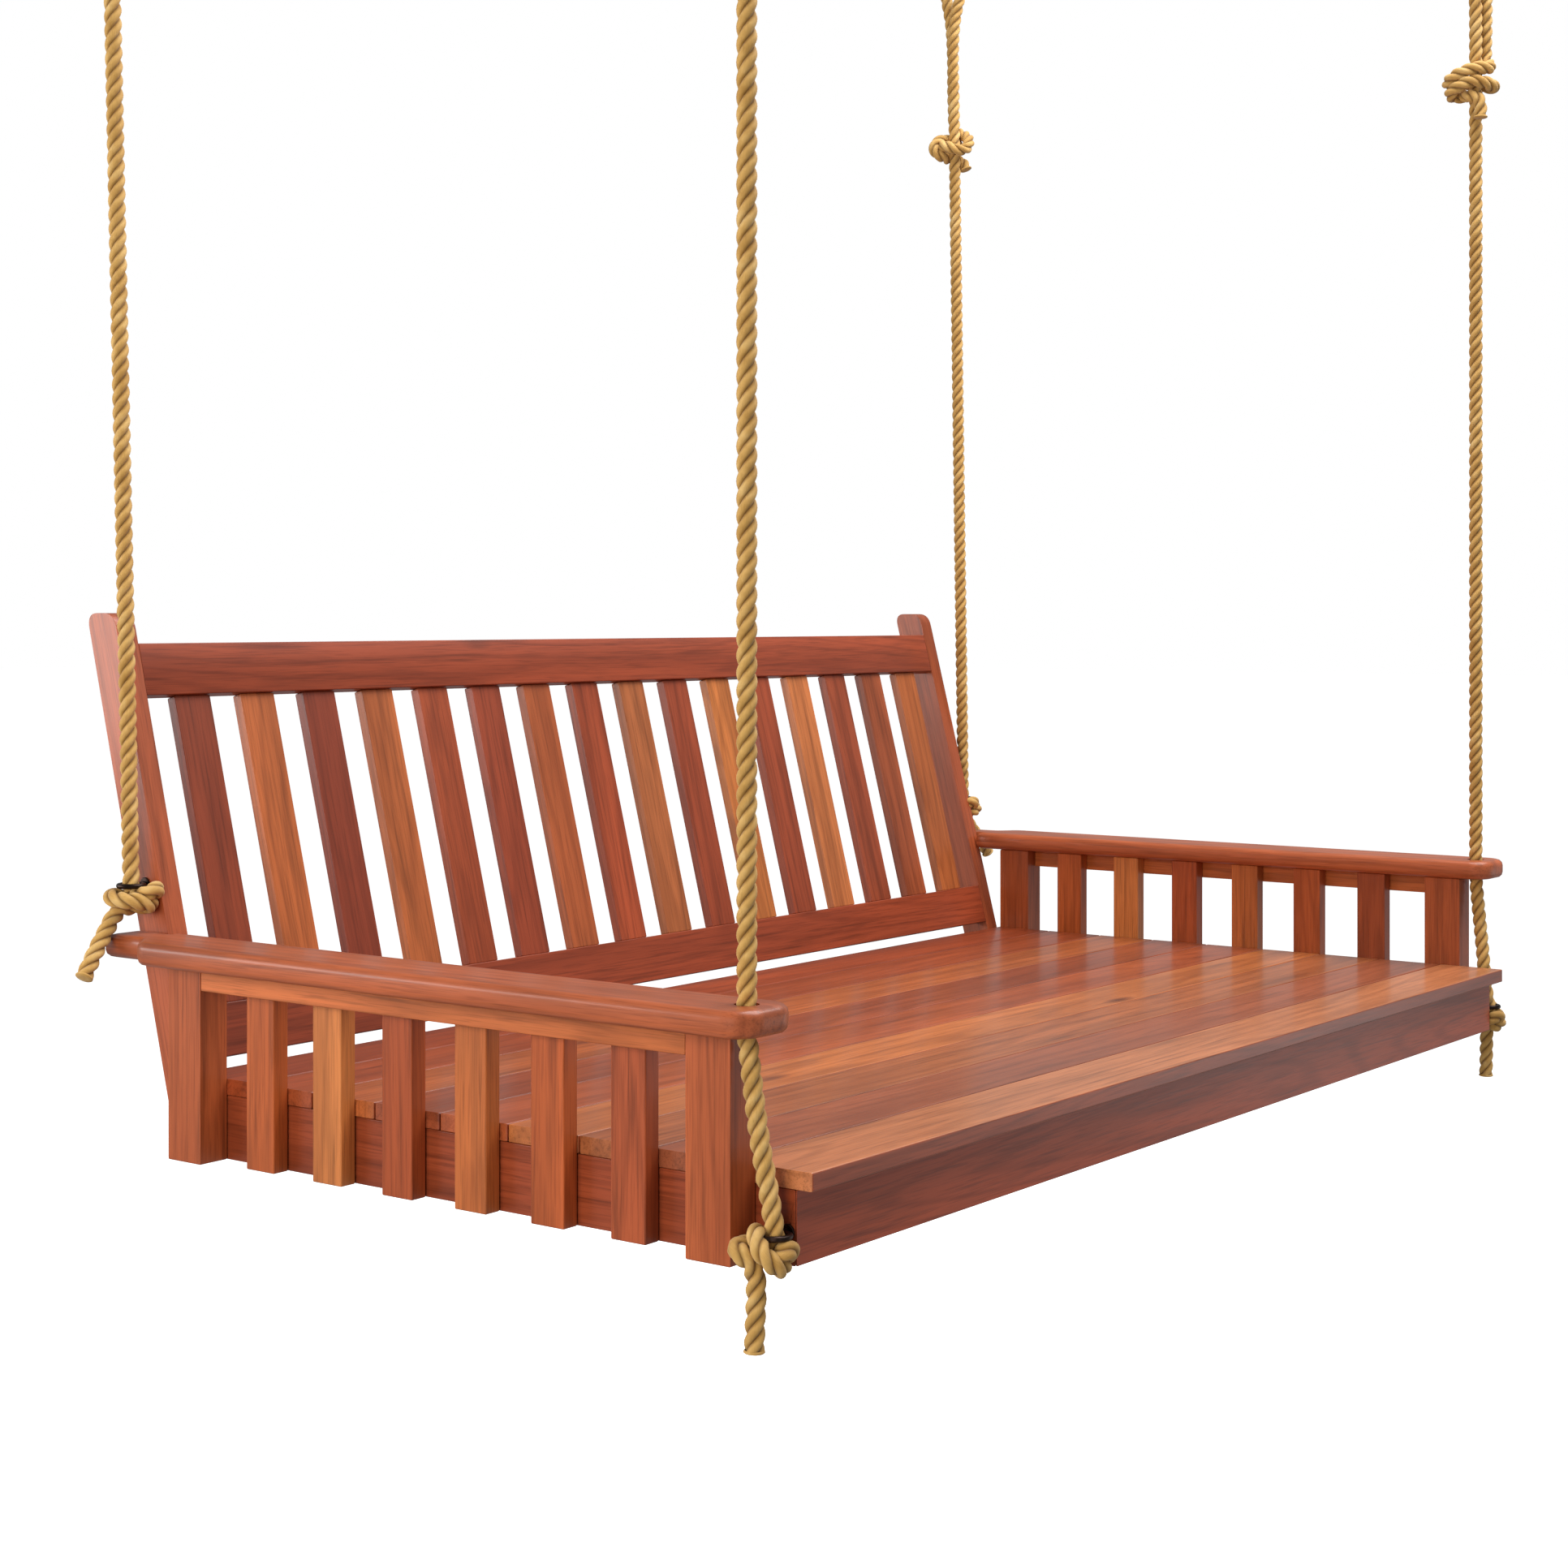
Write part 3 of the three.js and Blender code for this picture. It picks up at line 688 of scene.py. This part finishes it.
# Painted shade laid on the deck boards' forward-looking faces.
DECK_FRONT_SHADE = "c89c98"
RAIL_TONE = "934934"
FRONT_APRON_TONE = "a5523b"
SIDE_APRON_TONE = "8e4832"
ARM_TONE = "a86146"
ARM_RAIL_TONE = "b87048"
POST_TONE = "aa6040"
STILE_TONE = "aa5f44"


def paint_node(name, material, edge=0.0015):
    node = nodes[name]
    node.data.materials.clear()
    node.data.materials.append(material)
    round_edges(node, edge)


def paint_frame():
    for n, tone in enumerate(DECK_TONES):
        knotty = n in KNOTTY_BOARDS
        board = cedar(f"deck_cedar_{n + 1}", tone, "x", gloss=0.5, knots=knotty, front=DECK_FRONT_SHADE)
        paint_node(f"deck_board_{n + 1}", board, edge=0.0022)
    paint_node("apron_front", cedar("front_apron_cedar", FRONT_APRON_TONE, "x", figure=1.4))
    paint_node("apron_rear", cedar("rear_apron_cedar", SIDE_APRON_TONE, "x"))
    for n in range(3):
        paint_node(f"joist_{n + 1}", cedar(f"joist_cedar_{n + 1}", STILE_TONE, "y"))
    for where in ("top", "low"):
        rail = cedar(f"{where}_rail_cedar", RAIL_TONE, "x", lean=RAKE, gloss=0.15, knots=where == "top")
        paint_node(f"back_rail_{where}", rail)
    for n, tone in enumerate(SLAT_TONES):
        slat = cedar(f"slat_cedar_{n + 1}", tone, "z", lean=RAKE, gloss=0.15, knots=n in KNOTTY_SLATS)
        paint_node(f"back_slat_{n + 1}", slat)
    for name, _ in SIDES:
        paint_node(f"apron_{name}", cedar(f"{name}_apron_cedar", SIDE_APRON_TONE, "y", figure=1.6))
        stile = cedar(f"{name}_stile_cedar", STILE_TONE, "z", lean=RAKE)
        paint_node(f"back_stile_{name}", stile, edge=0.003)
        for where in ("front", "rear"):
            post = cedar(f"{where}_{name}_post_cedar", POST_TONE, "z")
            paint_node(f"post_{where}_{name}", post, edge=0.002)


def make_arm(name):
    """The CAD arm, with its round-over shaded smoothly."""
    source = nodes[f"arm_{name}"].data

    def build(form):
        form.from_mesh(source)
        bmesh.ops.remove_doubles(form, verts=form.verts, dist=WELD_DISTANCE)
        bmesh.ops.dissolve_limit(form, angle_limit=math.radians(0.5), verts=form.verts, edges=form.edges)

    arm = bmesh_piece(f"arm_board_{name}", build)
    shade(arm, SHARP_ARM)
    arm.data.materials.append(cedar(f"{name}_arm_cedar", ARM_TONE, "y", gloss=0.28))
    even_normals(arm)
    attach(arm, "bed")
    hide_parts(f"arm_{name}")


def stick(name, low, high, edge, material):
    """A planed length of wood with eased edges."""
    def build(form):
        bmesh.ops.create_cube(form, size=1)
        for vert in form.verts:
            vert.co = Vector(low[n] if vert.co[n] < 0 else high[n] for n in range(3))
        bmesh.ops.bevel(form, geom=form.edges[:], offset=edge, segments=3, profile=0.5, affect="EDGES")

    made = bmesh_piece(name, build)
    shade(made, SHARP_STICK)
    even_normals(made)
    made.data.materials.append(material)
    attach(made, "bed")
    return made


BALUSTER_WIDE = 0.051
BALUSTER_THICK = 0.0245
BALUSTER_PLAY = 0.0003                   # from a baluster to the rail behind it
ARM_RAIL_HIGH = 0.030
REAR_GAP = 0.064                         # from the rear post's front to the first baluster's back
FRONT_GAP = 0.073                        # from the front post's back to the last baluster's front


def make_balusters(name, side):
    """The rail under the arm and the balusters on its inner face."""
    low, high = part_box(f"balusters_{name}")
    inner, outer = (low.x, high.x) if side > 0 else (high.x, low.x)
    seam = inner + side * BALUSTER_THICK
    x0, x1 = sorted((seam, outer))
    material = cedar(f"{name}_arm_rail_cedar", ARM_RAIL_TONE, "y")
    rail_low = (x0, low.y, high.z - ARM_RAIL_HIGH)
    rail = stick(f"arm_rail_{name}", rail_low, (x1, high.y, high.z), 0.0015, material)
    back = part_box(f"post_rear_{name}")[0].y - REAR_GAP
    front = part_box(f"post_front_{name}")[1].y + FRONT_GAP
    pitch = (back - BALUSTER_WIDE - front) / (len(BALUSTER_TONES) - 1)
    x0, x1 = sorted((inner, seam - side * BALUSTER_PLAY))
    for n, tone in enumerate(BALUSTER_TONES):
        y = back - n * pitch
        material = cedar(f"{name}_baluster_cedar_{n + 1}", tone, "z")
        corner = (x0, y - BALUSTER_WIDE, low.z)
        baluster = stick(f"baluster_{name}_{n + 1}", corner, (x1, y, high.z), 0.002, material)
        if n == 0:
            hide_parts(f"balusters_{name}")


# ---- metal fittings ---------------------------------------------------------------------------
TORUS_STEPS = 48
TORUS_SIDES = 16
TURNED_SIDES = 24


def add_torus(form, middle, radius, wire, one, two):
    """A ring of round wire lying in the plane of the two directions."""
    one, two = Vector(one), Vector(two)
    axis = one.cross(two)
    angles = [2 * math.pi * m / TORUS_SIDES for m in range(TORUS_SIDES)]
    rows = []
    for n in range(TORUS_STEPS):
        turn = 2 * math.pi * n / TORUS_STEPS
        out = one * math.cos(turn) + two * math.sin(turn)
        ring = [out * (radius + wire * math.cos(a)) + axis * (wire * math.sin(a)) for a in angles]
        rows.append([form.verts.new(middle + p) for p in ring])
    for here, there in zip(rows, rows[1:] + rows[:1]):
        for m in range(TORUS_SIDES):
            k = (m + 1) % TORUS_SIDES
            form.faces.new((here[m], here[k], there[k], there[m]))


def add_turned(form, start, way, profile):
    """A turned form along a direction, from (distance, radius) pairs."""
    side = way.orthogonal().normalized()
    other = way.cross(side)
    angles = [2 * math.pi * n / TURNED_SIDES for n in range(TURNED_SIDES)]
    circle = [side * math.cos(a) + other * math.sin(a) for a in angles]
    rings = [[start + way * distance + p * radius for p in circle] for distance, radius in profile]
    ring_strip(form, rings)


def finish_metal(piece, body, node):
    shade(piece, SHARP_METAL)
    piece.data.materials.append(BRONZE)
    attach(piece, body)
    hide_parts(node)
    return piece


EYE_RING = 0.0162
EYE_WIRE = 0.0035
SHANK_RADIUS = 0.0040
SHANK_IN_WOOD = 0.026
COLLAR_RADIUS = 0.0090
WOOD_FACE = 0.0237                       # from the ring's middle in to the wood


def make_eye_bolt(end, name, side):
    """A ring lying flat, with a shank and a collar where it enters the wood."""
    x, y, height = ROPES[end]["eye"]
    middle = Vector((side * x, y, DECK + height))
    inward = Vector((-side, 0, 0))
    face = WOOD_FACE - EYE_RING
    profile = [
        (0.0005, SHANK_RADIUS),
        (face - 0.0030, SHANK_RADIUS + 0.0002),
        (face - 0.0028, COLLAR_RADIUS - 0.0006),
        (face - 0.0022, COLLAR_RADIUS),
        (face - 0.0006, COLLAR_RADIUS),
        (face - 0.0006, SHANK_RADIUS),
        (face + SHANK_IN_WOOD, SHANK_RADIUS),
    ]

    def build(form):
        add_torus(form, middle, EYE_RING, EYE_WIRE, (1, 0, 0), (0, 1, 0))
        add_turned(form, middle + inward * EYE_RING, inward, profile)

    bolt = bmesh_piece(f"eye_bolt_shape_{end}_{name}", build)
    finish_metal(bolt, "bed", f"eye_bolt_{end}_{name}")


PAD_RING = 0.030
PAD_WIRE = 0.005
PAD_THICK = 0.006
PAD_CORNER = 0.008
PAD_RIM = 0.0012
SUNK = 0.0004                            # how far the screws and the neck start inside the plate
NECK_IN_RING = 0.003
SCREW_INSET = 0.014
SCREW_HEAD = [(0, 0.0062), (0.0016, 0.0060), (0.0028, 0.0044), (0.0032, 0.0015)]


def add_plate(form, middle, half, top):
    """A square ceiling plate with rounded corners and an eased lower rim."""
    bmesh.ops.create_cube(form, size=1)
    for vert in form.verts:
        across, back, up = vert.co
        vert.co = (middle.x + across * 2 * half, middle.y + back * 2 * half, top - PAD_THICK * (0.5 - up))
    upright = [e for e in form.edges if abs(e.verts[0].co.z - e.verts[1].co.z) > PAD_THICK / 2]
    bmesh.ops.bevel(form, geom=upright, offset=PAD_CORNER, segments=5, profile=0.5, affect="EDGES")
    rim = [e for e in form.edges if max(v.co.z for v in e.verts) < top - PAD_THICK * 0.9]
    bmesh.ops.bevel(form, geom=rim, offset=PAD_RIM, segments=2, profile=0.5, affect="EDGES")


def make_pad(end, name):
    """A ceiling plate with four screws, a neck, and the ring that the rope hangs on."""
    low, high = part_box(f"ceiling_pad_{end}_{name}")
    middle = (low + high) / 2
    half = (high.x - low.x) / 2
    under = high.z - PAD_THICK
    ring_middle = Vector((middle.x, middle.y, low.z + PAD_RING + PAD_WIRE))
    neck = under - (ring_middle.z + PAD_RING) + NECK_IN_RING
    down = Vector((0, 0, -1))

    def build(form):
        add_plate(form, middle, half, high.z)
        for sx in (-1, 1):
            for sy in (-1, 1):
                inset = half - SCREW_INSET
                head = Vector((middle.x + sx * inset, middle.y + sy * inset, under + SUNK))
                add_turned(form, head, down, SCREW_HEAD)
        collar = [(0, 0.0120), (0.0016, 0.0112), (0.0030, 0.0074), (neck, 0.0068)]
        add_turned(form, Vector((middle.x, middle.y, under + SUNK)), down, collar)
        add_torus(form, ring_middle, PAD_RING, PAD_WIRE, (1, 0, 0), (0, 0, 1))

    pad = bmesh_piece(f"ceiling_plate_{end}_{name}", build)
    return finish_metal(pad, "ceiling", f"ceiling_pad_{end}_{name}")


# ---- scene ------------------------------------------------------------------------------------
FLOOR = -2.9
FLOOR_HALF = 60


def make_floor():
    """A wide pale floor that throws no light back on the swing."""
    corners = ((-1, -1), (1, -1), (1, 1), (-1, 1))
    points = [(x * FLOOR_HALF, y * FLOOR_HALF, FLOOR) for x, y in corners]
    floor = mesh_piece("floor", points, [(0, 1, 2, 3)], smooth=False)
    floor.data.materials.append(floor_paint())
    floor.visible_diffuse = False
    floor.visible_glossy = False


MANILA = manila()
BRONZE = bronze()

make_camera()
for end in ("front", "rear"):
    for name, side in SIDES:
        pad = make_pad(end, name)
        make_rope(end, name, side)
        make_eye_bolt(end, name, side)
for name, side in SIDES:
    make_arm(name)
    make_balusters(name, side)
paint_frame()
make_floor()
make_world()
for light in LIGHTS:
    area_light(*light)
bpy.context.scene.view_settings.view_transform = "Standard"
